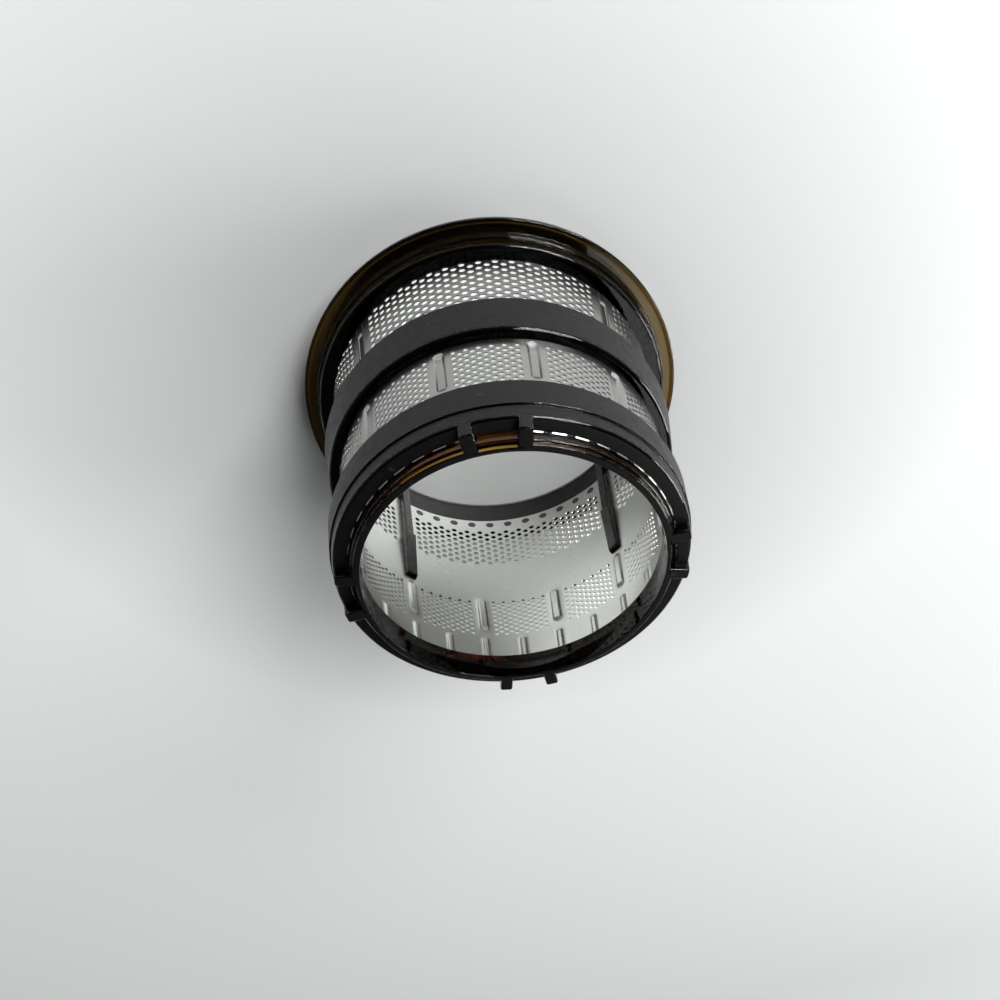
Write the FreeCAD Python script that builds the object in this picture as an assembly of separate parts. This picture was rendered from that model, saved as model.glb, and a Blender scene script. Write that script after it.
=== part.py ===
import FreeCAD, Part
import math
import os

os.makedirs("parts", exist_ok=True)

# Strainer screen of an upright juicer, in millimetres and degrees.
# It stands on its wide end, with the axis on +Z and the narrow locking end up.

# Whole screen
HEIGHT = 86.5

# Sheet: a cone of thin stainless steel
SHEET_WALL = 0.5
SHEET_RADIUS = 47.6
SHEET_START_Z = 9.5
SHEET_TAPER = 7.55
SHEET_END_INSET = 4.5

# Collar, flange and neck at the wide end
COLLAR_DRAFT = 0.8
COLLAR_WALL = 2.86
FLANGE_WIDTH = 4.74
FLANGE_Z = 8.9
FLANGE_THICKNESS = 1.2
BEAD_WIDTH = 1.1
BEAD_RISE = 0.5
NECK_HEIGHT = 5.9
NECK_WALL = 3.8
NECK_DRAFT = 0.4
RIDGE_RISE = 2.3
RIDGE_STEP = 0.6
RIDGE_DRAFT = 0.15

# Middle band
BAND_START_Z = 39.9
BAND_LENGTH = 11.8
BAND_WALL = 3.1
BAND_END_WALL = 2.5
BAND_CHAMFER = 1.1

# Inner ribs, and the slots through which they reach the middle band
RIB_COUNT = 4
RIB_PHASE = 45.0
RIB_WIDTH = 2.8
RIB_HEIGHT = 2.0
RIB_FOOT_LEAD = 9.6
RIB_FOOT_WIDTH = 3.5
RIB_FOOT_HEIGHT = 2.4
RIB_END_HEIGHT = 1.2
RIB_END_INSET = 0.9
RIB_END_SLOPE = 1.3
SLOT_WIDTH = 2.0
SLOT_MARGIN = 2.5

# Locking ring at the narrow end
RING_LENGTH = 14.5
RING_WALL = 3.4
STRIP_LENGTH = 3.8
STRIP_STEP = 0.46
SHOULDER_DEPTH = 3.0
SHOULDER_CHAMFER = 0.7
BORE_LENGTH = 7.5
LEDGE_WIDTH = 3.2
LIP_WALL = 1.4
LIP_DRAFT = 1.4
LUG_PAIRS = 4
LUG_HALF_ANGLE = 8.6
LUG_WIDTH = 3.1
LUG_DRAFT = 1.2

# Ribs pressed into the sheet
PRESS_DEPTH = 0.6
TALL_RIB_COUNT = 12
TALL_RIB_PHASE = 15.0
TALL_RIB_WIDTH = 3.0
TALL_RIB_START_GAP = 0.4
TALL_RIB_END_GAP = 5.4

# Perforated bands, parted by plain strips: a plain grid of openings stands for the many fine holes
UPPER_SECTORS = 4
UPPER_COLUMNS = 4
UPPER_ROWS = 2
UPPER_STRIP = 11.0
UPPER_BRIDGE = 5.2
UPPER_NECK_MARGIN = 1.0
UPPER_BAND_MARGIN = 4.7
LOWER_SECTORS = 12
LOWER_COLUMNS = 2
LOWER_ROWS = 1
LOWER_STRIP = 7.4
LOWER_BRIDGE = 4.4
LOWER_BAND_MARGIN = 2.0
LOWER_RING_MARGIN = 5.0

# Worked-out heights and directions
SLOPE = math.tan(math.radians(SHEET_TAPER))
SKIN = SHEET_WALL / math.cos(math.radians(SHEET_TAPER))
FLANGE_TOP = FLANGE_Z + FLANGE_THICKNESS
NECK_TOP = FLANGE_TOP + NECK_HEIGHT
BAND_END_Z = BAND_START_Z + BAND_LENGTH
RIB_FOOT_Z = BAND_START_Z - RIB_FOOT_LEAD
RIB_END_Z = BAND_END_Z - RIB_END_INSET
RING_START_Z = HEIGHT - RING_LENGTH
BORE_START_Z = HEIGHT - BORE_LENGTH
SHOULDER_Z = HEIGHT - SHOULDER_DEPTH
STRIP_Z = SHOULDER_Z - STRIP_LENGTH
SHEET_END_Z = HEIGHT - SHEET_END_INSET
AXIS = FreeCAD.Vector(0, 0, 1)
ORIGIN = FreeCAD.Vector(0, 0, 0)


def inside(z):
    """Inner radius of the sheet at height z."""
    return SHEET_RADIUS - (z - SHEET_START_Z) * SLOPE


def outside(z):
    """Outer radius of the sheet at height z."""
    return inside(z) + SKIN


def turned(outline, angle=360.0):
    """Solid turned about the axis from (radius, height) corners. A part turn is centred on +X."""
    corners = [FreeCAD.Vector(r, 0, z) for r, z in outline]
    face = Part.Face(Part.makePolygon(corners + corners[:1]))
    solid = face.revolve(ORIGIN, AXIS, angle)
    if angle < 360.0:
        solid.rotate(ORIGIN, AXIS, -angle / 2)
    return solid


def bar(outline, width):
    """Short turned piece, as wide as stated at the middle of its outline."""
    radius = sum(r for r, z in outline) / len(outline)
    return turned(outline, math.degrees(width / radius))


def on_sheet(start_z, end_z, inner, outer):
    """Outline along the sheet between two heights, at depths measured from its inner face."""
    return [(inside(start_z) + inner, start_z), (inside(start_z) + outer, start_z),
            (inside(end_z) + outer, end_z), (inside(end_z) + inner, end_z)]


def ring_of(shape, count, phase=0.0):
    """Even copies of a shape around the axis."""
    copies = []
    for i in range(count):
        copy = shape.copy()
        copy.rotate(ORIGIN, AXIS, phase + 360.0 * i / count)
        copies.append(copy)
    return copies


def make_blank_sheet():
    """The rolled cone, with the slots that the inner ribs pass through."""
    cone = turned(on_sheet(SHEET_START_Z, SHEET_END_Z, 0, SKIN))
    slot_start = BAND_START_Z + SLOT_MARGIN
    slot_end = min(BAND_END_Z, RIB_END_Z) - SLOT_MARGIN
    slot = bar(on_sheet(slot_start, slot_end, -SKIN, 2 * SKIN), SLOT_WIDTH)
    return cone.cut(ring_of(slot, RIB_COUNT, RIB_PHASE))


def pressed_rib(width, start_z, end_z):
    """Raised face inside and matching channel outside, for one rib pressed into the sheet."""
    raised = bar(on_sheet(start_z, end_z, -PRESS_DEPTH, SKIN / 2), width)
    channel = bar(on_sheet(start_z + SHEET_WALL, end_z - SHEET_WALL, SKIN - PRESS_DEPTH, 2 * SKIN),
                  width - 2 * SHEET_WALL)
    return raised, channel


def hole_band(sectors, columns, rows, strip, bridge, start_z, end_z):
    """Punches for one perforated band: an even grid of openings in each sector, with metal left between them."""
    radius = inside((start_z + end_z) / 2)
    width = (2 * math.pi * radius / sectors - strip + bridge) / columns - bridge
    height = (end_z - start_z + bridge) / rows - bridge
    punches = []
    for row in range(rows):
        low = start_z + row * (height + bridge)
        punch = bar(on_sheet(low, low + height, -SKIN, 2 * SKIN), width)
        for column in range(columns):
            angle = math.degrees((column - (columns - 1) / 2) * (width + bridge) / radius)
            punches += ring_of(punch, sectors, angle)
    return punches


def make_screen(blank):
    raised, channel = pressed_rib(TALL_RIB_WIDTH, BAND_END_Z + TALL_RIB_START_GAP, RING_START_Z - TALL_RIB_END_GAP)
    upper = hole_band(UPPER_SECTORS, UPPER_COLUMNS, UPPER_ROWS, UPPER_STRIP, UPPER_BRIDGE,
                      NECK_TOP + UPPER_NECK_MARGIN, BAND_START_Z - UPPER_BAND_MARGIN)
    lower = hole_band(LOWER_SECTORS, LOWER_COLUMNS, LOWER_ROWS, LOWER_STRIP, LOWER_BRIDGE,
                      BAND_END_Z + LOWER_BAND_MARGIN, RING_START_Z - LOWER_RING_MARGIN)
    ribbed = blank.fuse(ring_of(raised, TALL_RIB_COUNT, TALL_RIB_PHASE))
    return ribbed.cut(ring_of(channel, TALL_RIB_COUNT, TALL_RIB_PHASE) + upper + lower)


def make_rim():
    """Collar, flange and ridged neck, turned as one section that holds the sheet's wide edge."""
    collar_bore = SHEET_RADIUS + COLLAR_DRAFT
    collar_radius = collar_bore + COLLAR_WALL
    flange_radius = collar_radius + FLANGE_WIDTH
    neck_radius = outside(NECK_TOP) + NECK_WALL
    neck_foot = neck_radius + NECK_DRAFT
    ridge_radius = neck_foot + RIDGE_STEP
    ridge_z = FLANGE_TOP + RIDGE_RISE
    return turned([
        (collar_bore, 0), (collar_radius, 0), (collar_radius, FLANGE_Z), (flange_radius, FLANGE_Z),
        (flange_radius, FLANGE_TOP + BEAD_RISE), (flange_radius - BEAD_WIDTH, FLANGE_TOP),
        (ridge_radius + RIDGE_DRAFT, FLANGE_TOP), (ridge_radius, ridge_z), (neck_foot, ridge_z),
        (neck_radius, NECK_TOP), (inside(NECK_TOP), NECK_TOP), (SHEET_RADIUS, SHEET_START_Z)])


def make_band():
    """Middle band outside the sheet, slimmer toward the narrow end and chamfered there."""
    chamfer_z = BAND_END_Z - BAND_CHAMFER
    end_radius = outside(chamfer_z) + BAND_END_WALL
    return turned([(inside(BAND_START_Z), BAND_START_Z), (outside(BAND_START_Z) + BAND_WALL, BAND_START_Z),
                   (end_radius, chamfer_z), (end_radius - BAND_CHAMFER, BAND_END_Z), (inside(BAND_END_Z), BAND_END_Z)])


def make_inner_rib():
    """One rib on the inside of the sheet: a slim run from the collar, then a wider foot behind the band."""
    slim = bar(on_sheet(0, RIB_FOOT_Z, -RIB_HEIGHT, SKIN), RIB_WIDTH)
    slope_z = RIB_END_Z - RIB_END_SLOPE
    foot = bar([(outside(RIB_FOOT_Z), RIB_FOOT_Z), (inside(RIB_FOOT_Z) - RIB_FOOT_HEIGHT, RIB_FOOT_Z),
                (inside(slope_z) - RIB_END_HEIGHT, slope_z), (inside(RIB_END_Z), RIB_END_Z),
                (outside(RIB_END_Z), RIB_END_Z)], RIB_FOOT_WIDTH)
    return slim.fuse(foot)


def make_rim_frame(blank):
    ribs = ring_of(make_inner_rib(), RIB_COUNT, RIB_PHASE)
    return make_rim().fuse(ribs + [make_band()]).cut(blank)


def make_locking_ring(blank):
    """Ring moulded onto the sheet's narrow edge, with a stepped strip, a shoulder, a thin lip and pairs of lugs."""
    strip_wall = RING_WALL - STRIP_STEP
    chamfer_z = SHOULDER_Z - SHOULDER_CHAMFER
    strip_radius = outside(chamfer_z) + strip_wall
    bore_radius = inside(BORE_START_Z) - LEDGE_WIDTH
    lip_radius = bore_radius + LIP_WALL
    ring = turned([
        (bore_radius, HEIGHT), (bore_radius, BORE_START_Z), (inside(BORE_START_Z), BORE_START_Z),
        (inside(RING_START_Z), RING_START_Z), (outside(RING_START_Z) + RING_WALL, RING_START_Z),
        (outside(STRIP_Z) + RING_WALL, STRIP_Z), (outside(STRIP_Z) + strip_wall, STRIP_Z),
        (strip_radius, chamfer_z), (strip_radius - SHOULDER_CHAMFER, SHOULDER_Z),
        (lip_radius + LIP_DRAFT, SHOULDER_Z), (lip_radius, HEIGHT)])
    root = bore_radius + LIP_WALL / 2
    lug = bar([(root, chamfer_z), (strip_radius, chamfer_z), (strip_radius - LUG_DRAFT, HEIGHT),
               (root, HEIGHT)], LUG_WIDTH)
    lugs = ring_of(lug, LUG_PAIRS, -LUG_HALF_ANGLE) + ring_of(lug, LUG_PAIRS, LUG_HALF_ANGLE)
    return ring.fuse(lugs).cut(blank)


def save(name, shape):
    solid = shape.removeSplitter()
    solid.exportStep("parts/" + name + ".step")
    box = solid.BoundBox
    print(name, "valid", solid.isValid(), "solids", len(solid.Solids), "volume %.1f" % solid.Volume,
          "size %.2f %.2f %.2f" % (box.XLength, box.YLength, box.ZLength))


blank_sheet = make_blank_sheet()
save("screen", make_screen(blank_sheet))
save("rim_frame", make_rim_frame(blank_sheet))
save("locking_ring", make_locking_ring(blank_sheet))
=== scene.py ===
import bmesh
import bpy
import math
from mathutils import Matrix, Vector


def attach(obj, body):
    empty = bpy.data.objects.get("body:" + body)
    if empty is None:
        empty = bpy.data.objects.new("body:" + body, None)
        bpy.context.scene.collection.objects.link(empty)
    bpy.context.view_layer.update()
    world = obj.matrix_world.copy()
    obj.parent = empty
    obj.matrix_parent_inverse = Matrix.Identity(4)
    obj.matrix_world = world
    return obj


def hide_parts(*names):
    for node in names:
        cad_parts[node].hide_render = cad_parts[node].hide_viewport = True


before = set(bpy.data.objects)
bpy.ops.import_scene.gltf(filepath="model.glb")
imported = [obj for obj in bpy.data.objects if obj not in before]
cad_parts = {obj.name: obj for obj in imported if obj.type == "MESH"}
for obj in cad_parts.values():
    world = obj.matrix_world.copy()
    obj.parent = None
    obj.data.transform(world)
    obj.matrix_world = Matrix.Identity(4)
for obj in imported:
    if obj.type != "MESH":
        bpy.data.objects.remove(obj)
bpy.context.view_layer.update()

bpy.context.scene.view_settings.view_transform = "Standard"

# The perforated screen.
# One thin stainless sheet, punched flat in two bands of holes, pressed with ribs and rolled into a cone.
# The plastic at both ends is moulded onto it. Sizes are in millimetres, and angles round the cone in degrees.
MM = 0.001
SHEET_WALL = 0.32
SHEET_RADIUS = 47.6
SHEET_START_Z = 9.5
SHEET_END_Z = 82.0
SHEET_TAPER = 7.55
SHEET_SLOPE = math.tan(math.radians(SHEET_TAPER))
HOLE_SIDES = 12
NEAR = 1e-4
WELD = 1e-3


def inside(z):
    """Inner radius of the sheet at height z."""
    return SHEET_RADIUS - (z - SHEET_START_Z) * SHEET_SLOPE


def outside(z):
    """Outer radius of the sheet at height z."""
    return inside(z) + SHEET_WALL


def only_verts(geom):
    """The vertices in the result of a bmesh operator."""
    return [g for g in geom if isinstance(g, bmesh.types.BMVert)]


def hole_cell(bm, x, z, column_pitch, row_pitch, hole):
    """One punched hole in its rectangle of flat sheet: x in degrees round the cone, y up the cone."""
    across = math.degrees(hole / 2 / inside(z))
    rim_verts = bmesh.ops.create_circle(bm, segments=HOLE_SIDES, radius=hole / 2)["verts"]
    edge_verts = bmesh.ops.create_circle(bm, segments=HOLE_SIDES, radius=1.0)["verts"]
    for v in rim_verts:
        v.co = Vector((x + v.co.x * across / (hole / 2), z + v.co.y, 0))
    for v in edge_verts:
        # The circle's points at 30, 150, 210 and 330 degrees go to the rectangle's corners
        turn = round(math.degrees(math.atan2(v.co.y, v.co.x))) % 360
        share_x = max(-1.0, min(1.0, (90 - min(turn, 360 - turn)) / 60))
        share_z = 0 if turn % 180 == 0 else 1 if turn < 180 else -1
        v.co = Vector((x + share_x * column_pitch / 2, z + share_z * row_pitch / 2, 0))
    ring_edges = {e for v in rim_verts + edge_verts for e in v.link_edges}
    bmesh.ops.bridge_loops(bm, edges=list(ring_edges))


def border(bm, axis, value, low=-math.inf, high=math.inf):
    """Open edges of the flat sheet that lie on x or y = value, between low and high on the other axis."""
    def on_line(v):
        return abs(v.co[axis] - value) < NEAR and low - NEAR < v.co[1 - axis] < high + NEAR

    return [e for e in bm.edges if len(e.link_faces) < 2 and all(on_line(v) for v in e.verts)]


def grow(bm, edges, step, count=1):
    """Carries open edges on by equal steps, as plain sheet."""
    for _ in range(count):
        made = bmesh.ops.extrude_edge_only(bm, edges=edges)["geom"]
        verts = only_verts(made)
        bmesh.ops.translate(bm, vec=step, verts=verts)
        edges = [g for g in made if isinstance(g, bmesh.types.BMEdge) and len(g.link_faces) == 1
                 and all(v in verts for v in g.verts)]


def punched_sector(bm, columns, rows, column_pitch, row_pitch, first_z, hole, fewer):
    """Staggered columns of holes about x = 0. Odd columns start half a pitch on, with fewer holes."""
    start = first_z - row_pitch / 2
    end = start + (rows + (0.0 if fewer else 0.5)) * row_pitch
    for column in range(columns):
        x = (column - (columns - 1) / 2) * column_pitch
        odd = column % 2
        count = rows - odd * fewer
        for row in range(count):
            hole_cell(bm, x, first_z + (row + odd / 2) * row_pitch, column_pitch, row_pitch, hole)
        low = start + odd * row_pitch / 2
        high = low + count * row_pitch
        left = x - column_pitch / 2
        right = x + column_pitch / 2
        if low - start > NEAR:
            grow(bm, border(bm, 1, low, left, right), Vector((0, start - low, 0)))
        if end - high > NEAR:
            grow(bm, border(bm, 1, high, left, right), Vector((0, end - high, 0)))
    bmesh.ops.remove_doubles(bm, verts=bm.verts, dist=NEAR)
    return start, end


# Section of a pressed rib's flank, as shares of its run and of its depth
PRESS_SECTION = ((0.0, 0.0), (0.22, 0.12), (0.5, 0.5), (0.75, 0.88), (1.0, 1.0))
PRESS_DEPTH = 0.6
PRESS_FLANK = 0.75
PRESS_END_RUN = 1.2
PRESS_END_STEPS = 6


def edge_loop(bm, verts):
    """Closed loop of edges through the vertices."""
    return [bm.edges.new((a, b)) for a, b in zip(verts, verts[1:] + verts[:1])]


def pressed_strip(bm, left, right, side_zs, rib):
    """Plain strip of flat sheet with one round-ended rib pressed into it. rib is (x, start, end, width)."""
    x, start, end, width = rib
    edge_verts = [bm.verts.new((left, z, 0)) for z in side_zs]
    edge_verts += [bm.verts.new((x, side_zs[-1], 0))]
    edge_verts += [bm.verts.new((right, z, 0)) for z in reversed(side_zs)]
    edge_verts += [bm.verts.new((x, side_zs[0], 0))]
    edges = edge_loop(bm, edge_verts)
    rings = []
    for inset, depth in PRESS_SECTION:
        radius = width / 2 - inset * PRESS_FLANK
        ring_verts = []
        for centre, first in ((end - width / 2, 0), (start + width / 2, 180)):
            for i in range(PRESS_END_STEPS + 1):
                turn = math.radians(first + 180 * i / PRESS_END_STEPS)
                along = centre + (radius - inset * PRESS_END_RUN) * math.sin(turn)
                aside = math.degrees(radius * math.cos(turn) / inside(along))
                ring_verts.append(bm.verts.new((x + aside, along, -depth * PRESS_DEPTH)))
        rings.append(edge_loop(bm, ring_verts))
    for a, b in zip(rings, rings[1:]):
        bmesh.ops.bridge_loops(bm, edges=a + b)
    bmesh.ops.contextual_create(bm, geom=rings[-1])
    bmesh.ops.triangle_fill(bm, use_beauty=True, use_dissolve=False, edges=edges + rings[0])


def side_heights(bm, x):
    """Heights of the open corners on the line x."""
    return sorted({round(v.co.y, 4) for e in border(bm, 0, x) for v in e.verts})


def rolled(bm, count):
    """Repeats a flat unit round the cone and rolls it up."""
    unit = bm.verts[:] + bm.edges[:] + bm.faces[:]
    for i in range(1, count):
        copy = bmesh.ops.duplicate(bm, geom=unit)["geom"]
        bmesh.ops.translate(bm, vec=(360.0 * i / count, 0, 0), verts=only_verts(copy))
    for v in bm.verts:
        angle = math.radians(v.co.x)
        radius = inside(v.co.y) + v.co.z
        v.co = Vector((radius * math.cos(angle), radius * math.sin(angle), v.co.y))
    bmesh.ops.remove_doubles(bm, verts=bm.verts, dist=WELD)


# Upper band: four sectors, each with a plain strip and a pressed channel beside it
UPPER_SECTORS = 4
UPPER_COLUMNS = 30
UPPER_ROWS = 7
UPPER_COLUMN_PITCH = 2.693
UPPER_ROW_PITCH = 2.705
UPPER_FIRST_Z = 16.7
UPPER_HOLE = 1.73
UPPER_END_Z = 50.6
UPPER_PLAIN_STEPS = 4
CHANNEL_WIDTH = 2.4
CHANNEL_START_Z = 20.0
CHANNEL_END_Z = 37.5
upper = bmesh.new()
start, end = punched_sector(upper, UPPER_COLUMNS, UPPER_ROWS, UPPER_COLUMN_PITCH, UPPER_ROW_PITCH,
                            UPPER_FIRST_Z, UPPER_HOLE, fewer=0)
half = UPPER_COLUMNS * UPPER_COLUMN_PITCH / 2
strip = 360.0 / UPPER_SECTORS - 2 * half
plain_step = (UPPER_END_Z - end) / UPPER_PLAIN_STEPS
grow(upper, border(upper, 1, start), Vector((0, SHEET_START_Z - start, 0)))
grow(upper, border(upper, 1, end), Vector((0, plain_step, 0)), UPPER_PLAIN_STEPS)
grow(upper, border(upper, 0, half), Vector((strip / 4, 0, 0)))
grow(upper, border(upper, 0, -half), Vector((-strip / 4, 0, 0)))
corner_zs = side_heights(upper, half + strip / 4)
pressed_strip(upper, half + strip / 4, half + 3 * strip / 4, corner_zs,
              (half + strip / 2, CHANNEL_START_Z, CHANNEL_END_Z, CHANNEL_WIDTH))
rolled(upper, UPPER_SECTORS)

# Lower band: twelve sectors, with a tall pressed rib between each two
LOWER_SECTORS = 12
LOWER_COLUMNS = 11
LOWER_ROWS = 8
LOWER_COLUMN_PITCH = 2.03
LOWER_ROW_PITCH = 1.93
LOWER_FIRST_Z = 54.0
LOWER_HOLE = 1.18
LOWER_START_Z = 51.4
TALL_WIDTH = 3.0
TALL_START_Z = 52.1
TALL_END_Z = 66.6
lower = bmesh.new()
start, lower_end_z = punched_sector(lower, LOWER_COLUMNS, LOWER_ROWS, LOWER_COLUMN_PITCH, LOWER_ROW_PITCH,
                                    LOWER_FIRST_Z, LOWER_HOLE, fewer=1)
half = LOWER_COLUMNS * LOWER_COLUMN_PITCH / 2
grow(lower, border(lower, 1, start), Vector((0, LOWER_START_Z - start, 0)))
pressed_strip(lower, half, 360.0 / LOWER_SECTORS - half, side_heights(lower, half),
              (180.0 / LOWER_SECTORS, TALL_START_Z, TALL_END_Z, TALL_WIDTH))
rolled(lower, LOWER_SECTORS)

# Narrow edge: short pressed ribs that run into the locking ring
SHORT_COUNT = 24
SHORT_WIDTH = 2.2
SHORT_START_Z = 69.2
SHORT_END_Z = 81.0
NARROW_START_Z = 68.8
NARROW_CORNER_ZS = [NARROW_START_Z, 72.0, 75.0, 78.0, SHEET_END_Z]
narrow = bmesh.new()
sixth = 360.0 / SHORT_COUNT / 6
pressed_strip(narrow, -sixth, sixth, NARROW_CORNER_ZS, (0, SHORT_START_Z, SHORT_END_Z, SHORT_WIDTH))
grow(narrow, border(narrow, 0, sixth), Vector((sixth, 0, 0)), 2)
grow(narrow, border(narrow, 0, -sixth), Vector((-sixth, 0, 0)), 2)
rolled(narrow, SHORT_COUNT)


def ring_border(bm, z):
    """Open edges of the rolled sheet at height z."""
    return [e for e in bm.edges if len(e.link_faces) == 1 and all(abs(v.co.z - z) < WELD for v in e.verts)]


def add_to(bm, other):
    """Puts another bmesh into this one."""
    mesh = bpy.data.meshes.new("part")
    other.to_mesh(mesh)
    other.free()
    bm.from_mesh(mesh)
    bpy.data.meshes.remove(mesh)


sheet = upper
add_to(sheet, lower)
add_to(sheet, narrow)
for above, below in ((UPPER_END_Z, LOWER_START_Z), (lower_end_z, NARROW_START_Z)):
    bmesh.ops.bridge_loops(sheet, edges=ring_border(sheet, above) + ring_border(sheet, below))
bmesh.ops.recalc_face_normals(sheet, faces=sheet.faces)

# The outer face stands off by the sheet's thickness, and its faces are marked for painted shade: a darker
# steel colour, so the outside reflects less light than the inside
painted_outside_shade = sheet.faces.layers.float.new("painted_outside_shade")
shell = bmesh.ops.extrude_face_region(sheet, geom=sheet.faces[:], use_keep_orig=True)["geom"]
for v in only_verts(shell):
    v.co += Vector((v.co.x, v.co.y, 0)).normalized() * SHEET_WALL
for face in [g for g in shell if isinstance(g, bmesh.types.BMFace)]:
    face[painted_outside_shade] = 1.0
bmesh.ops.recalc_face_normals(sheet, faces=sheet.faces)

# Tabs on the sheet's narrow edge, which show as bright dashes in the locking ring's shoulder
LUG_PAIRS = 4
TAB_COUNT = 48
TAB_PHASE = 3.0
TAB_ANGLE = 4.4
TAB_STEPS = 3
TAB_START_Z = 81.6
TAB_END_Z = 83.68
TAB_SLANT = 0.2
TAB_RADIUS = 37.84
TAB_WALL = 0.16
TAB_LUG_GAP = 7.0


def turned_bar(bm, corners, middle, angle, steps):
    """Bar that follows the axis over an angle about its middle, from (radius, height) corners."""
    half_angle = math.radians(angle / 2)
    low = middle - half_angle
    high = middle + half_angle
    face = bm.faces.new([bm.verts.new((r * math.cos(low), r * math.sin(low), z)) for r, z in corners])
    old = set(bm.faces)
    bmesh.ops.spin(bm, geom=[face], cent=(0, 0, 0), axis=(0, 0, 1), angle=high - low, steps=steps)
    bmesh.ops.recalc_face_normals(bm, faces=[f for f in bm.faces if f not in old] + [face])


def from_lugs(turn):
    """Angle from the middle of the nearest pair of lugs."""
    pitch = 360.0 / LUG_PAIRS
    return abs((turn + pitch / 2) % pitch - pitch / 2)


tab_corners = [(TAB_RADIUS, TAB_START_Z), (TAB_RADIUS + TAB_WALL, TAB_START_Z),
               (TAB_RADIUS + TAB_WALL, TAB_END_Z - TAB_SLANT), (TAB_RADIUS, TAB_END_Z)]
for i in range(TAB_COUNT):
    turn = TAB_PHASE + 360.0 * i / TAB_COUNT
    if from_lugs(turn) >= TAB_LUG_GAP:
        turned_bar(sheet, tab_corners, math.radians(turn), TAB_ANGLE, TAB_STEPS)

SHARP_ANGLE = 35.0


def finished(name, bm):
    """Makes an object of a bmesh built in millimetres, smooth but for its sharp edges."""
    bmesh.ops.scale(bm, vec=(MM, MM, MM), verts=bm.verts)
    mesh = bpy.data.meshes.new(name)
    bm.to_mesh(mesh)
    bm.free()
    mesh.shade_smooth()
    mesh.set_sharp_from_angle(angle=math.radians(SHARP_ANGLE))
    piece = bpy.data.objects.new(name, mesh)
    bpy.context.scene.collection.objects.link(piece)
    return piece


def new_material(name):
    """A material with its nodes, its links and its main shader."""
    material = bpy.data.materials.new(name)
    material.use_nodes = True
    nodes = material.node_tree.nodes
    return material, nodes, material.node_tree.links, nodes["Principled BSDF"]


def noise(nodes, links, scale, detail, stretch=(1, 1, 1)):
    """Noise on Object coordinates, stretched along the axes."""
    place = nodes.new("ShaderNodeTexCoord")
    mapping = nodes.new("ShaderNodeMapping")
    mapping.inputs["Scale"].default_value = stretch
    texture = nodes.new("ShaderNodeTexNoise")
    texture.inputs["Scale"].default_value = scale
    texture.inputs["Detail"].default_value = detail
    links.new(place.outputs["Object"], mapping.inputs["Vector"])
    links.new(mapping.outputs["Vector"], texture.inputs["Vector"])
    return texture.outputs["Fac"]


def ramp(nodes, links, value, span, levels):
    """Goes from the first level to the last as the socket's value crosses the span."""
    step = nodes.new("ShaderNodeMapRange")
    for name, number in zip(("From Min", "From Max", "To Min", "To Max"), span + levels):
        step.inputs[name].default_value = number
    links.new(value, step.inputs["Value"])
    return step.outputs["Result"]


NOISE_SPAN = (0.3, 0.7)
MIX_FIRST = 6
MIX_SECOND = 7
MIX_RESULT = 2


def blend(nodes, links, factor, first, second):
    """Goes from the first colour to the second by a socket. The second can be a socket too."""
    mix = nodes.new("ShaderNodeMix")
    mix.data_type = "RGBA"
    mix.inputs[MIX_FIRST].default_value = first
    if isinstance(second, bpy.types.NodeSocket):
        links.new(second, mix.inputs[MIX_SECOND])
    else:
        mix.inputs[MIX_SECOND].default_value = second
    links.new(factor, mix.inputs["Factor"])
    return mix.outputs[MIX_RESULT]


def face_value(nodes, name):
    """Socket with a value that is stored on the faces."""
    stored = nodes.new("ShaderNodeAttribute")
    stored.attribute_name = name
    return stored.outputs["Fac"]


# Painted shade: the sheet's outer faces take a darker steel colour than its inner faces, so the outside looks
# less lit
STEEL_LIT_INSIDE = (0.57, 0.568, 0.55, 1)
STEEL_SHADED_OUTSIDE = (0.43, 0.428, 0.415, 1)
STEEL_ROUGHNESS = (0.24, 0.3)
GRAIN_STRETCH = (1, 1, 0.3)
GRAIN_DEPTH = 0.00002
GRAIN_STRENGTH = 0.04
steel, nodes, links, shader = new_material("satin_steel")
shader.inputs["Metallic"].default_value = 1.0
tone = blend(nodes, links, face_value(nodes, "painted_outside_shade"), STEEL_LIT_INSIDE, STEEL_SHADED_OUTSIDE)
links.new(tone, shader.inputs["Base Color"])
satin = ramp(nodes, links, noise(nodes, links, scale=60, detail=4), NOISE_SPAN, STEEL_ROUGHNESS)
links.new(satin, shader.inputs["Roughness"])
grain = nodes.new("ShaderNodeBump")
grain.inputs["Strength"].default_value = GRAIN_STRENGTH
grain.inputs["Distance"].default_value = GRAIN_DEPTH
links.new(noise(nodes, links, scale=5000, detail=2, stretch=GRAIN_STRETCH), grain.inputs["Height"])
links.new(grain.outputs["Normal"], shader.inputs["Normal"])

screen = finished("screen_sheet", sheet)
screen.data.materials.append(steel)
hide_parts("screen")
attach(screen, "root")

# The rim.
# The wide end of the amber moulding: a collar, a thin flange with a bead along its edge and a stepped neck,
# which holds the sheet's wide edge. Thin walls let amber light through and thick ones look black.
TURN_STEPS = 192
FILLET_STEPS = 4
FIT = 0.02
COLLAR_BORE = 48.4
COLLAR_FOOT = 52.0
COLLAR_RADIUS = 51.26
FLANGE_START_Z = 8.9
FLANGE_END_Z = 10.1
FLANGE_RADIUS = 55.95
BEAD_RADIUS = 56.0
BEAD_INNER = 54.95
BEAD_FOOT = 54.7
BEAD_END_Z = 10.6
STEP_FOOT = 52.19
STEP_RADIUS = 52.06
STEP_END_Z = 12.35
NECK_FOOT = 51.45
NECK_START_Z = 12.4
NECK_RADIUS = 51.04
NECK_END_Z = 16.0
FACES_IN = -0.9
RIM_TINT = (0.53, 0.41, 0.05, 1)
RIM_DENSITY = 2700.0


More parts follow.
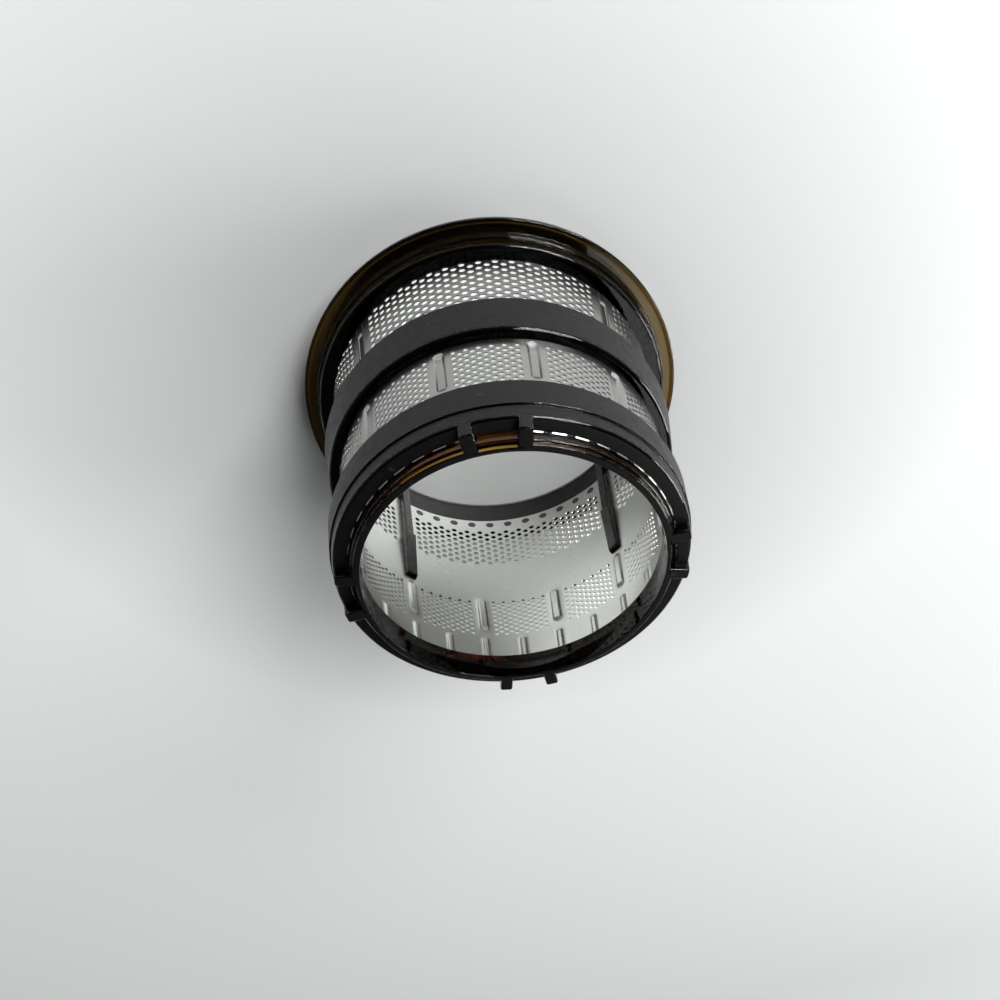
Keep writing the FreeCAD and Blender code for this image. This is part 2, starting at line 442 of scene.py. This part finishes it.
def one_ring(corners):
    """Closed ring from (radius, height, fillet) corners, rounded and then turned about the axis."""
    bm = bmesh.new()
    verts = [bm.verts.new((r, 0, z)) for r, z, _ in corners]
    bm.faces.new(verts)
    for vert, (_, _, fillet) in zip(verts, corners):
        if fillet:
            bmesh.ops.bevel(bm, geom=[vert], offset=fillet, offset_type="OFFSET", affect="VERTICES",
                            segments=FILLET_STEPS, profile=0.5, material=-1, clamp_overlap=True)
    face = [f for f in bm.faces if len(f.verts) >= len(corners)][-1]
    section = face.verts[:] + face.edges[:]
    bmesh.ops.delete(bm, geom=[face], context="FACES_ONLY")
    bmesh.ops.spin(bm, geom=section, cent=(0, 0, 0), axis=(0, 0, 1), angle=2 * math.pi,
                   steps=TURN_STEPS, use_merge=True)
    bmesh.ops.remove_doubles(bm, verts=bm.verts, dist=NEAR)
    bmesh.ops.recalc_face_normals(bm, faces=bm.faces)
    return bm


def mark_matte(bm, is_matte):
    """Stores on each face whether it has the moulding's matte texture, from its place and its direction."""
    layer = bm.faces.layers.float.new("matte")
    for face in bm.faces:
        centre = face.calc_center_median()
        radius = math.hypot(centre.x, centre.y)
        outward = (face.normal.x * centre.x + face.normal.y * centre.y) / max(radius, 1e-6)
        face[layer] = float(is_matte(radius, centre.z, outward, face.normal.z))


PLASTIC_IOR = 1.37
CLEAR_COLOUR = (1.0, 0.95, 0.85, 1)
MATTE_COLOUR = (0.003, 0.003, 0.0028, 1)
SCUFF_COLOUR = (0.05, 0.049, 0.046, 1)
SCUFF_SPAN = (0.66, 0.78)
SCUFF_STRETCH = (1, 1, 2.5)
GLOSS_ROUGHNESS = (0.015, 0.03)
MATTE_ROUGHNESS = (0.38, 0.5)
MATTE_DEPTH = 0.00004
FULL = (0.0, 1.0)
REVERSED = (1.0, 0.0)


def amber_plastic(name, tint, density):
    """Clear-bodied dark plastic: thin walls pass amber light. Matte faces have a fine moulded texture."""
    material, nodes, links, shader = new_material(name)
    shader.inputs["IOR"].default_value = PLASTIC_IOR
    matte = face_value(nodes, "matte")
    scuff_noise = noise(nodes, links, scale=260, detail=8, stretch=SCUFF_STRETCH)
    scuffs = ramp(nodes, links, scuff_noise, SCUFF_SPAN, FULL)
    worn = blend(nodes, links, scuffs, MATTE_COLOUR, SCUFF_COLOUR)
    links.new(blend(nodes, links, matte, CLEAR_COLOUR, worn), shader.inputs["Base Color"])
    links.new(ramp(nodes, links, matte, FULL, REVERSED), shader.inputs["Transmission Weight"])
    gloss = ramp(nodes, links, noise(nodes, links, scale=120, detail=3), NOISE_SPAN, GLOSS_ROUGHNESS)
    rough = ramp(nodes, links, noise(nodes, links, scale=400, detail=5), NOISE_SPAN, MATTE_ROUGHNESS)
    finish = nodes.new("ShaderNodeMix")
    links.new(matte, finish.inputs["Factor"])
    links.new(gloss, finish.inputs["A"])
    links.new(rough, finish.inputs["B"])
    links.new(finish.outputs["Result"], shader.inputs["Roughness"])
    texture = nodes.new("ShaderNodeBump")
    texture.inputs["Distance"].default_value = MATTE_DEPTH
    links.new(matte, texture.inputs["Strength"])
    links.new(noise(nodes, links, scale=2600, detail=3), texture.inputs["Height"])
    links.new(texture.outputs["Normal"], shader.inputs["Normal"])
    depth = nodes.new("ShaderNodeVolumeAbsorption")
    depth.inputs["Color"].default_value = tint
    depth.inputs["Density"].default_value = density
    links.new(depth.outputs["Volume"], nodes["Material Output"].inputs["Volume"])
    return material


def mould(name, bm, material, node=None):
    """Finishes a moulded piece. Its flat faces keep their own direction beside rounded edges."""
    piece = finished(name, bm)
    flats = piece.modifiers.new("flats", "WEIGHTED_NORMAL")
    flats.keep_sharp = True
    flats.weight = 100
    piece.data.materials.append(material)
    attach(piece, "root")
    if node:
        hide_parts(node)


rim = one_ring([
    (COLLAR_BORE, 0, 0.5), (COLLAR_FOOT, 0, 0.5), (COLLAR_RADIUS, FLANGE_START_Z, 0.25),
    (FLANGE_RADIUS, FLANGE_START_Z, 0.45), (BEAD_RADIUS, BEAD_END_Z, 0.5), (BEAD_INNER, BEAD_END_Z, 0.3),
    (BEAD_FOOT, FLANGE_END_Z, 0.2), (STEP_FOOT, FLANGE_END_Z, 0.25), (STEP_RADIUS, STEP_END_Z, 0.45),
    (NECK_FOOT, NECK_START_Z, 0.1), (NECK_RADIUS, NECK_END_Z, 0.85),
    (outside(NECK_END_Z) + FIT, NECK_END_Z, 0), (outside(SHEET_START_Z) + FIT, SHEET_START_Z, 0),
    (SHEET_RADIUS, SHEET_START_Z, 0)])
mark_matte(rim, lambda radius, z, outward, upward: outward < FACES_IN and z < SHEET_START_Z)
rim_plastic = amber_plastic("rim_amber_plastic", RIM_TINT, RIM_DENSITY)
mould("rim", rim, rim_plastic, "rim_frame")

# The middle band.
# A hoop of the same moulding round the outside of the sheet, between its two bands of holes.
# The inner ribs hold it through slots in the sheet. Its outer face is matte and its edges are glossy.
BAND_START_Z = 39.9
BAND_END_Z = 51.7
BAND_FOOT = 47.17
BAND_RADIUS = 44.95
FACES_OUT = 0.95
band = one_ring([
    (outside(BAND_START_Z) + FIT, BAND_START_Z, 0), (BAND_FOOT, BAND_START_Z, 0.4),
    (BAND_RADIUS, BAND_END_Z, 1.1), (outside(BAND_END_Z) + FIT, BAND_END_Z, 0)])
mark_matte(band, lambda radius, z, outward, upward: outward > FACES_OUT)
mould("middle_band", band, rim_plastic)

# The inner ribs.
# Four bars of the same moulding on the inside of the sheet, from the collar to the middle band.
# Each has a narrow upper part and a wider foot with a sloping end.
RIB_COUNT = 4
RIB_PHASE = 45.0
RIB_GAP = 0.05
RIB_START_Z = 0.6
RIB_STEP_Z = 30.3
RIB_LAP = 0.4
RIB_DEPTH = 2.0
RIB_WIDTH = 2.8
FOOT_SLOPE_Z = 49.5
FOOT_END_Z = 50.8
FOOT_DEPTH = 2.4
FOOT_TIP = 1.2
FOOT_WIDTH = 3.5
RIB_ROUNDING = 0.35
RIB_FACES_OUT = 0.8


def plate(corners, width):
    """Flat block from (radius, height) corners, centred on the X axis."""
    bm = bmesh.new()
    face = bm.faces.new([bm.verts.new((r, -width / 2, z)) for r, z in corners])
    made = bmesh.ops.extrude_face_region(bm, geom=[face])["geom"]
    bmesh.ops.translate(bm, vec=(0, width, 0), verts=only_verts(made))
    bmesh.ops.recalc_face_normals(bm, faces=bm.faces)
    return bm


def rounded(bm, edges, offset, segments, clamp=False):
    """Rounds edges of a block."""
    bmesh.ops.bevel(bm, geom=edges, offset=offset, offset_type="OFFSET", affect="EDGES", segments=segments,
                    profile=0.5, material=-1, clamp_overlap=clamp)


def turned_to(bm, angle):
    """Turns a block about the cone's axis."""
    bmesh.ops.rotate(bm, cent=(0, 0, 0), matrix=Matrix.Rotation(math.radians(angle), 3, "Z"), verts=bm.verts)
    return bm


rib_corners = [(inside(RIB_START_Z) - RIB_GAP, RIB_START_Z), (inside(RIB_START_Z) - RIB_DEPTH, RIB_START_Z),
               (inside(RIB_STEP_Z) - RIB_DEPTH, RIB_STEP_Z + RIB_LAP),
               (inside(RIB_STEP_Z) - RIB_GAP, RIB_STEP_Z + RIB_LAP)]
foot_corners = [(inside(RIB_STEP_Z) - RIB_GAP, RIB_STEP_Z), (inside(RIB_STEP_Z) - FOOT_DEPTH, RIB_STEP_Z),
                (inside(FOOT_SLOPE_Z) - FOOT_TIP, FOOT_SLOPE_Z), (inside(FOOT_END_Z) - RIB_GAP, FOOT_END_Z)]
rib_angles = [RIB_PHASE + 360.0 * i / RIB_COUNT for i in range(RIB_COUNT)]
ribs = bmesh.new()
for angle in rib_angles:
    for corners, width in ((rib_corners, RIB_WIDTH), (foot_corners, FOOT_WIDTH)):
        bar = plate(corners, width)
        rounded(bar, bar.edges[:], RIB_ROUNDING, segments=3, clamp=True)
        add_to(ribs, turned_to(bar, angle))
mark_matte(ribs, lambda radius, z, outward, upward: outward > RIB_FACES_OUT)
mould("inner_ribs", ribs, rim_plastic)

# The anchor plugs.
# The same plastic where it shows through the sheet: round plugs in holes along the wide edge, and a thin key
# on each side of the four channels. It is deep behind them, so no light passes.
PLUG_COUNT = 48
PLUG_PHASE = 232.4
PLUG_Z = 12.0
PLUG_DIAMETER = 2.64
PLUG_HEIGHT = 0.12
PLUG_SIDES = 16
PLUG_COLOUR = (0.042, 0.041, 0.038, 1)
PLUG_ROUGHNESS = (0.35, 0.45)
plugs = bmesh.new()
for i in range(PLUG_COUNT):
    angle = PLUG_PHASE + 360.0 * i / PLUG_COUNT
    place = (Matrix.Rotation(math.radians(angle), 4, "Z") @ Matrix.Translation((inside(PLUG_Z), 0, PLUG_Z))
             @ Matrix.Rotation(math.radians(90 - SHEET_TAPER), 4, "Y"))
    bmesh.ops.create_cone(plugs, cap_ends=True, segments=PLUG_SIDES, radius1=PLUG_DIAMETER / 2,
                          radius2=PLUG_DIAMETER / 2, depth=PLUG_HEIGHT, matrix=place)

KEY_START_Z = 16.4
KEY_ANGLE = 0.36
KEY_SINK = 0.2
KEY_STAND = 0.05
key_corners = [(outside(KEY_START_Z) - KEY_SINK, KEY_START_Z),
               (outside(KEY_START_Z) + KEY_STAND, KEY_START_Z),
               (outside(BAND_START_Z) + KEY_STAND, BAND_START_Z),
               (outside(BAND_START_Z) - KEY_SINK, BAND_START_Z)]
half_channel = math.degrees(CHANNEL_WIDTH / 2 / SHEET_RADIUS)
for angle in rib_angles:
    for side in (-1, 1):
        turned_bar(plugs, key_corners, math.radians(angle + side * half_channel), KEY_ANGLE, steps=1)

deep_plastic, nodes, links, shader = new_material("deep_plastic")
shader.inputs["Base Color"].default_value = PLUG_COLOUR
dull = ramp(nodes, links, noise(nodes, links, scale=400, detail=4), NOISE_SPAN, PLUG_ROUGHNESS)
links.new(dull, shader.inputs["Roughness"])
plug_piece = finished("anchor_plugs", plugs)
plug_piece.data.materials.append(deep_plastic)
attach(plug_piece, "root")

# The locking ring.
# One moulding of the same plastic at the narrow end: a matte band, a rebated end with a thin lip
# and four pairs of lugs that turn into the juicer's bowl. The sheet's narrow edge is moulded into it.
HEIGHT = 86.5
RING_START_Z = 72.0
RING_FOOT = 43.2
RING_RADIUS = 42.2
STRIP_Z = 79.7
STRIP_FOOT = 41.74
SHOULDER_Z = 83.5
SHOULDER_RADIUS = 41.24
SHOULDER_INNER = 38.25
BORE_START_Z = 79.0
BORE_FOOT = 35.4
BORE_RADIUS = 35.45
BORE_END_Z = 82.2
LIP_START_Z = 82.3
LIP_BORE_FOOT = 35.2
LIP_BORE = 34.95
LIP_FOOT = 37.85
LIP_RADIUS = 37.2
LIP_LEDGE_Z = 85.45
LEDGE_RADIUS = 36.72
LEDGE_END_Z = 85.6
TIP_RADIUS = 36.55
RING_TINT = (0.69, 0.56, 0.0, 1)
RING_DENSITY = 2750.0
ring = one_ring([
    (LIP_BORE, HEIGHT, 0.25), (LIP_BORE_FOOT, LIP_START_Z, 0), (BORE_RADIUS, BORE_END_Z, 0),
    (BORE_FOOT, BORE_START_Z, 0.35), (inside(BORE_START_Z) - FIT, BORE_START_Z, 0),
    (inside(SHEET_END_Z) - FIT, SHEET_END_Z, 0), (outside(SHEET_END_Z) + FIT, SHEET_END_Z, 0),
    (outside(RING_START_Z) + FIT, RING_START_Z, 0), (RING_FOOT, RING_START_Z, 0.4),
    (RING_RADIUS, STRIP_Z, 0.2), (STRIP_FOOT, STRIP_Z, 0.1), (SHOULDER_RADIUS, SHOULDER_Z, 0.85),
    (SHOULDER_INNER, SHOULDER_Z, 0), (LIP_FOOT, SHOULDER_Z, 0.1), (LIP_RADIUS, LIP_LEDGE_Z, 0.3),
    (LEDGE_RADIUS, LEDGE_END_Z, 0.1), (TIP_RADIUS, HEIGHT, 0.35)])

# Between the lugs of a pair the lip is thinner
POCKET_HALF_ANGLE = 7.6
POCKET_DEPTH = 0.6
POCKET_START_Z = 85.3
POCKET_INNER = 36.1
POCKET_OUTER = 36.95
for v in ring.verts:
    turn = math.degrees(math.atan2(v.co.y, v.co.x))
    in_lip = v.co.z > POCKET_START_Z and POCKET_INNER < math.hypot(v.co.x, v.co.y) < POCKET_OUTER
    if in_lip and from_lugs(turn) < POCKET_HALF_ANGLE:
        v.co -= Vector((v.co.x, v.co.y, 0)).normalized() * POCKET_DEPTH

# Lugs: blocks with rounded outer corners and a rounded end
LUG_HALF_ANGLE = 8.6
LUG_WIDTH = 3.1
LUG_ROOT = 36.0
LUG_FOOT = 41.3
LUG_RADIUS = 40.6
LUG_START_Z = SHOULDER_Z - 0.9
LUG_CORNER = 0.6
LUG_EDGE = 0.45
lug_corners = [(LUG_ROOT, LUG_START_Z), (LUG_FOOT, LUG_START_Z), (LUG_RADIUS, HEIGHT), (LUG_ROOT, HEIGHT)]
lugs = bmesh.new()
for i in range(LUG_PAIRS):
    for side in (-1, 1):
        lug = plate(lug_corners, LUG_WIDTH)
        upright = [e for e in lug.edges if min(v.co.x for v in e.verts) > LUG_RADIUS - 0.5
                   and abs(e.verts[0].co.z - e.verts[1].co.z) > 1]
        rounded(lug, upright, LUG_CORNER, segments=4)
        top = [e for e in lug.edges if all(abs(v.co.z - HEIGHT) < NEAR for v in e.verts)
               and max(v.co.x for v in e.verts) > LUG_ROOT + 1]
        rounded(lug, top, LUG_EDGE, segments=4)
        add_to(lugs, turned_to(lug, 360.0 * i / LUG_PAIRS + side * LUG_HALF_ANGLE))


def joined(bm, other):
    """Makes two closed shapes one moulding, with no walls left inside."""
    pieces = []
    for part in (bm, other):
        mesh = bpy.data.meshes.new("part")
        part.to_mesh(mesh)
        part.free()
        pieces.append(bpy.data.objects.new("part", mesh))
        bpy.context.scene.collection.objects.link(pieces[-1])
    union = pieces[0].modifiers.new("union", "BOOLEAN")
    union.operation = "UNION"
    union.solver = "EXACT"
    union.use_self = True
    union.object = pieces[1]
    whole = bmesh.new()
    whole.from_object(pieces[0], bpy.context.evaluated_depsgraph_get())
    for piece in pieces:
        bpy.data.meshes.remove(piece.data)
    bmesh.ops.remove_doubles(whole, verts=whole.verts, dist=NEAR)
    bmesh.ops.recalc_face_normals(whole, faces=whole.faces)
    return whole


FACES_UP = 0.98
OUTER_FACES = 40.0
END_MARGIN = 0.1
SHOULDER_MARGIN = 0.05


def ring_matte(radius, z, outward, upward):
    """The outer faces, the shoulder and the ends. Edges, the lip's wall and the lugs' sides are glossy."""
    on_end = z > HEIGHT - END_MARGIN
    on_shoulder = radius > SHOULDER_INNER - SHOULDER_MARGIN and z > SHOULDER_Z - END_MARGIN
    outer_face = outward > FACES_OUT and radius > OUTER_FACES
    return outer_face or (upward > FACES_UP and (on_end or on_shoulder))


ring = joined(ring, lugs)
mark_matte(ring, ring_matte)
ring_plastic = amber_plastic("ring_amber_plastic", RING_TINT, RING_DENSITY)
mould("locking_ring_moulding", ring, ring_plastic, "locking_ring")

# The stage: a pale floor, a dim sky that looks pale to the camera, and four soft lamps.
# The floor's glow is painted light: inside the cone it stands in for daylight coming in at the wide end,
# brighter towards +Y to the camera and towards -X in reflections, and farther out it rises from nothing near
# the piece, which leaves a painted contact shadow round it.
# Under the flange on the camera's side the floor is painted dark, a painted shadow for every ray but the
# camera's own.
FLOOR_SIZE = 3.0
FLOOR_COLOUR = (0.66, 0.675, 0.67, 1)
FLOOR_SHADE = (0.06, 0.06, 0.06, 1)
FLOOR_GLOW = (0.96, 1.0, 0.97, 1)
FLOOR_ROUGHNESS = 0.9
INNER_RADIUS = 0.048
SEEN_SPAN = (-0.025, 0.03)
SEEN_GLOW = (0.24, 0.95)
REFLECTED_SPAN = (-0.018, 0.014)
REFLECTED_GLOW = (1.0, 0.2)
OUTER_SPAN = (0.06, 0.17)
OUTER_GLOW = (0.0, 0.32)
DISTANT_SPAN = (0.6, 1.4)
DISTANT_GLOW = (0.0, 0.55)
SHADE_SPAN_Y = (0.02, 0.042)
SHADE_SPAN_RADIUS = (0.0545, 0.0585)


def combine(nodes, links, operation, a, b):
    """Adds, multiplies or compares two sockets."""
    step = nodes.new("ShaderNodeMath")
    step.operation = operation
    links.new(a, step.inputs[0])
    links.new(b, step.inputs[1])
    return step.outputs["Value"]


floor_mesh = bmesh.new()
bmesh.ops.create_grid(floor_mesh, x_segments=1, y_segments=1, size=FLOOR_SIZE / MM)
floor = finished("floor", floor_mesh)
pale, nodes, links, shader = new_material("pale_floor")
shader.inputs["Roughness"].default_value = FLOOR_ROUGHNESS
shader.inputs["Emission Color"].default_value = FLOOR_GLOW
place = nodes.new("ShaderNodeTexCoord")
length = nodes.new("ShaderNodeVectorMath")
length.operation = "LENGTH"
links.new(place.outputs["Object"], length.inputs[0])
reach = length.outputs["Value"]
across = nodes.new("ShaderNodeSeparateXYZ")
links.new(place.outputs["Object"], across.inputs[0])
patch = nodes.new("ShaderNodeMath")
patch.operation = "LESS_THAN"
patch.inputs[1].default_value = INNER_RADIUS
links.new(reach, patch.inputs[0])
ray = nodes.new("ShaderNodeLightPath")
direct = ray.outputs["Is Camera Ray"]
indirect = combine(nodes, links, "MAXIMUM", ray.outputs["Is Glossy Ray"], ray.outputs["Is Transmission Ray"])
anywhere = combine(nodes, links, "MAXIMUM", direct, indirect)

# Painted light: the glow under the cone, brighter towards +Y to the camera and towards -X in reflections
seen = combine(nodes, links, "MULTIPLY", direct,
               ramp(nodes, links, across.outputs["Y"], SEEN_SPAN, SEEN_GLOW))
reflected = combine(nodes, links, "MULTIPLY", indirect,
                    ramp(nodes, links, across.outputs["X"], REFLECTED_SPAN, REFLECTED_GLOW))
inner = combine(nodes, links, "MULTIPLY", patch.outputs["Value"],
                combine(nodes, links, "ADD", seen, reflected))
outer = combine(nodes, links, "MULTIPLY", anywhere, ramp(nodes, links, reach, OUTER_SPAN, OUTER_GLOW))
distant = combine(nodes, links, "MULTIPLY", anywhere,
                  ramp(nodes, links, reach, DISTANT_SPAN, DISTANT_GLOW))
glow = combine(nodes, links, "ADD", combine(nodes, links, "ADD", inner, outer), distant)
links.new(glow, shader.inputs["Emission Strength"])

# Painted shade: a dark ring of floor under the flange on the +Y side, for every ray but the camera's
open_floor = combine(nodes, links, "MAXIMUM",
                     ramp(nodes, links, across.outputs["Y"], SHADE_SPAN_Y, REVERSED),
                     ramp(nodes, links, reach, SHADE_SPAN_RADIUS, FULL))
unshaded = combine(nodes, links, "MAXIMUM", open_floor, direct)
links.new(blend(nodes, links, unshaded, FLOOR_SHADE, FLOOR_COLOUR), shader.inputs["Base Color"])
floor.data.materials.append(pale)

SKY_COLOUR = (0.82, 0.85, 0.86, 1)
SKY_SPAN = (0.1, 0.6)
SKY_GLOW = (0.4, 0.05)
world = bpy.data.worlds.new("studio")
bpy.context.scene.world = world
world.use_nodes = True
nodes = world.node_tree.nodes
links = world.node_tree.links
nodes["Background"].inputs["Color"].default_value = SKY_COLOUR
view = nodes.new("ShaderNodeTexCoord")
rise = nodes.new("ShaderNodeSeparateXYZ")
links.new(view.outputs["Generated"], rise.inputs[0])
ray = nodes.new("ShaderNodeLightPath")
level = combine(nodes, links, "MAXIMUM", ray.outputs["Is Camera Ray"],
                ramp(nodes, links, rise.outputs["Z"], SKY_SPAN, SKY_GLOW))
links.new(level, nodes["Background"].inputs["Strength"])

LAMP_AIM = Vector((0, 0, 0.04))


def lamp(name, place, size, watts):
    """Soft rectangular lamp, aimed at the middle of the piece."""
    data = bpy.data.lights.new(name, "AREA")
    data.shape = "RECTANGLE"
    data.size, data.size_y = size
    data.energy = watts
    piece = bpy.data.objects.new(name, data)
    piece.location = place
    piece.rotation_euler = (LAMP_AIM - Vector(place)).to_track_quat("-Z", "Y").to_euler()
    bpy.context.scene.collection.objects.link(piece)


lamp("window", place=(0.42, 0.62, 0.31), size=(0.42, 0.16), watts=5)
lamp("ceiling", place=(0.5, 0.72, 0.8), size=(0.45, 0.45), watts=6.5)
lamp("side", place=(0.85, -0.15, 0.22), size=(0.4, 0.4), watts=5)
lamp("bounce", place=(0.38, -0.5, 0.95), size=(0.3, 0.5), watts=0.8)

# The camera looks down past the narrow end, with the wide end at the top of the picture
CAMERA_SENSOR = 36.0
CAMERA_LENS = 27.367
CAMERA_PLACE = Vector((0, 0.1223, 0.21015))
CAMERA_TILT = 0.6756
CAMERA_YAW = -0.0064
CAMERA_ROLL = -0.1310
camera_data = bpy.data.cameras.new("camera")
camera_data.sensor_width = CAMERA_SENSOR
camera_data.lens = CAMERA_LENS
camera = bpy.data.objects.new("camera", camera_data)
ahead = Vector((0, -math.sin(CAMERA_TILT), -math.cos(CAMERA_TILT)))
right = Vector((1, 0, 0))
up = right.cross(ahead)
ahead, right = (math.cos(CAMERA_YAW) * ahead + math.sin(CAMERA_YAW) * right,
                math.cos(CAMERA_YAW) * right - math.sin(CAMERA_YAW) * ahead)
right, up = (math.cos(CAMERA_ROLL) * right + math.sin(CAMERA_ROLL) * up,
             math.cos(CAMERA_ROLL) * up - math.sin(CAMERA_ROLL) * right)
camera.matrix_world = Matrix.Translation(CAMERA_PLACE) @ Matrix((right, up, -ahead)).transposed().to_4x4()
bpy.context.scene.collection.objects.link(camera)
bpy.context.scene.camera = camera
